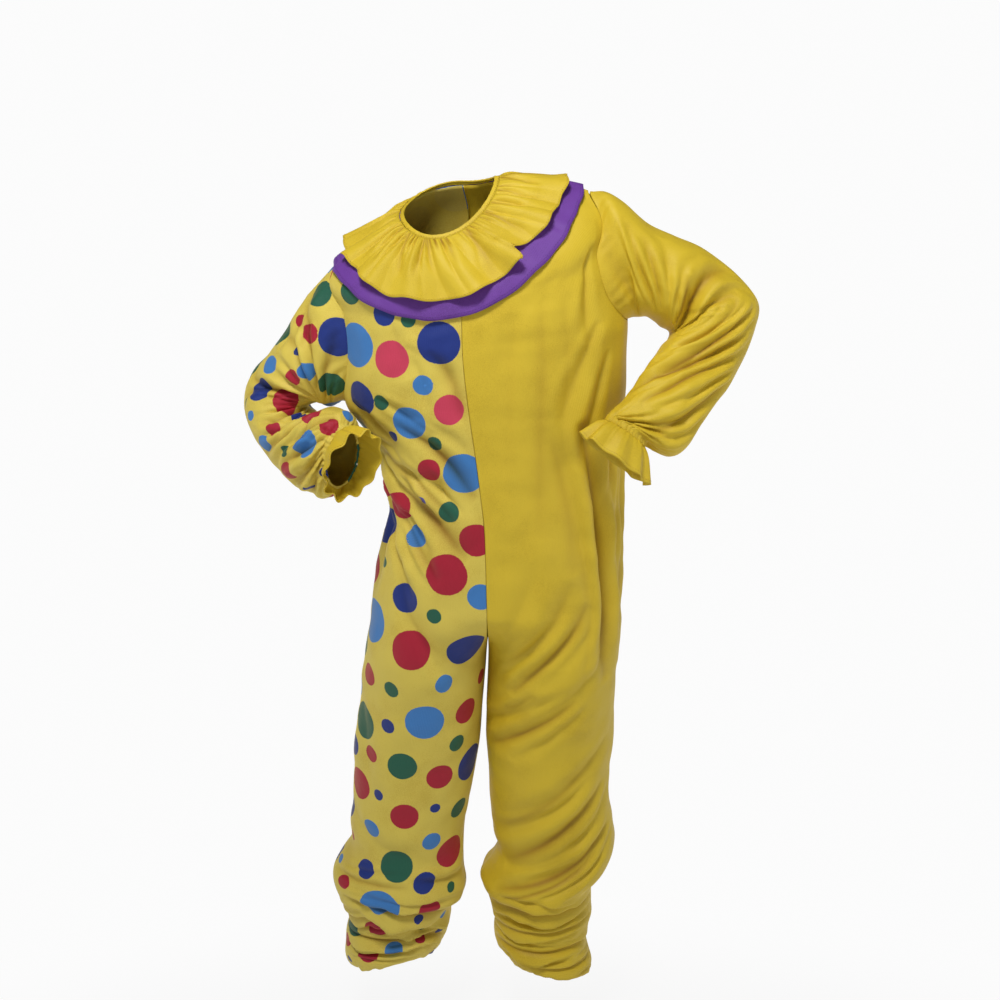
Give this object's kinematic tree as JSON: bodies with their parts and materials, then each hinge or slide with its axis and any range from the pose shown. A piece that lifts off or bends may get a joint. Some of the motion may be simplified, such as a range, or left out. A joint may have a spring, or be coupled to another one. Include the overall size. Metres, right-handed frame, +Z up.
{
  "type": "clown jumpsuit",
  "caption": "Loose hollow jumpsuit of two cloths, spotted and plain, with a double gathered collar, gathered wrist ruffles and elastic ankles, shaped as worn with hands on hips.",
  "frame": {"origin": "middle of the neck edge, at the level where the collar's binding starts", "axes": "+Z up along the standing body, -Y out of the garment's front, +X towards the wearer's left"},
  "size_m": [0.7935, 0.3068, 1.4317],
  "materials": {
    "spotted_cloth": "soft knitted polyester, yellow printed with round spots",
    "plain_cloth": "soft knitted polyester, plain yellow, slight sheen",
    "purple_cloth": "soft knitted polyester, plain purple"
  },
  "bodies": {
    "root": {"front_right": "spotted_cloth", "front_left": "plain_cloth", "back_right": "spotted_cloth", "back_left": "plain_cloth", "sleeve_right": "spotted_cloth", "sleeve_left": "plain_cloth", "cuff_ruffle_right": "plain_cloth", "cuff_ruffle_left": "plain_cloth", "collar_ruffle": "plain_cloth", "collar_underlayer": "purple_cloth", "neck_binding": "plain_cloth"}
  },
  "joints": []
}
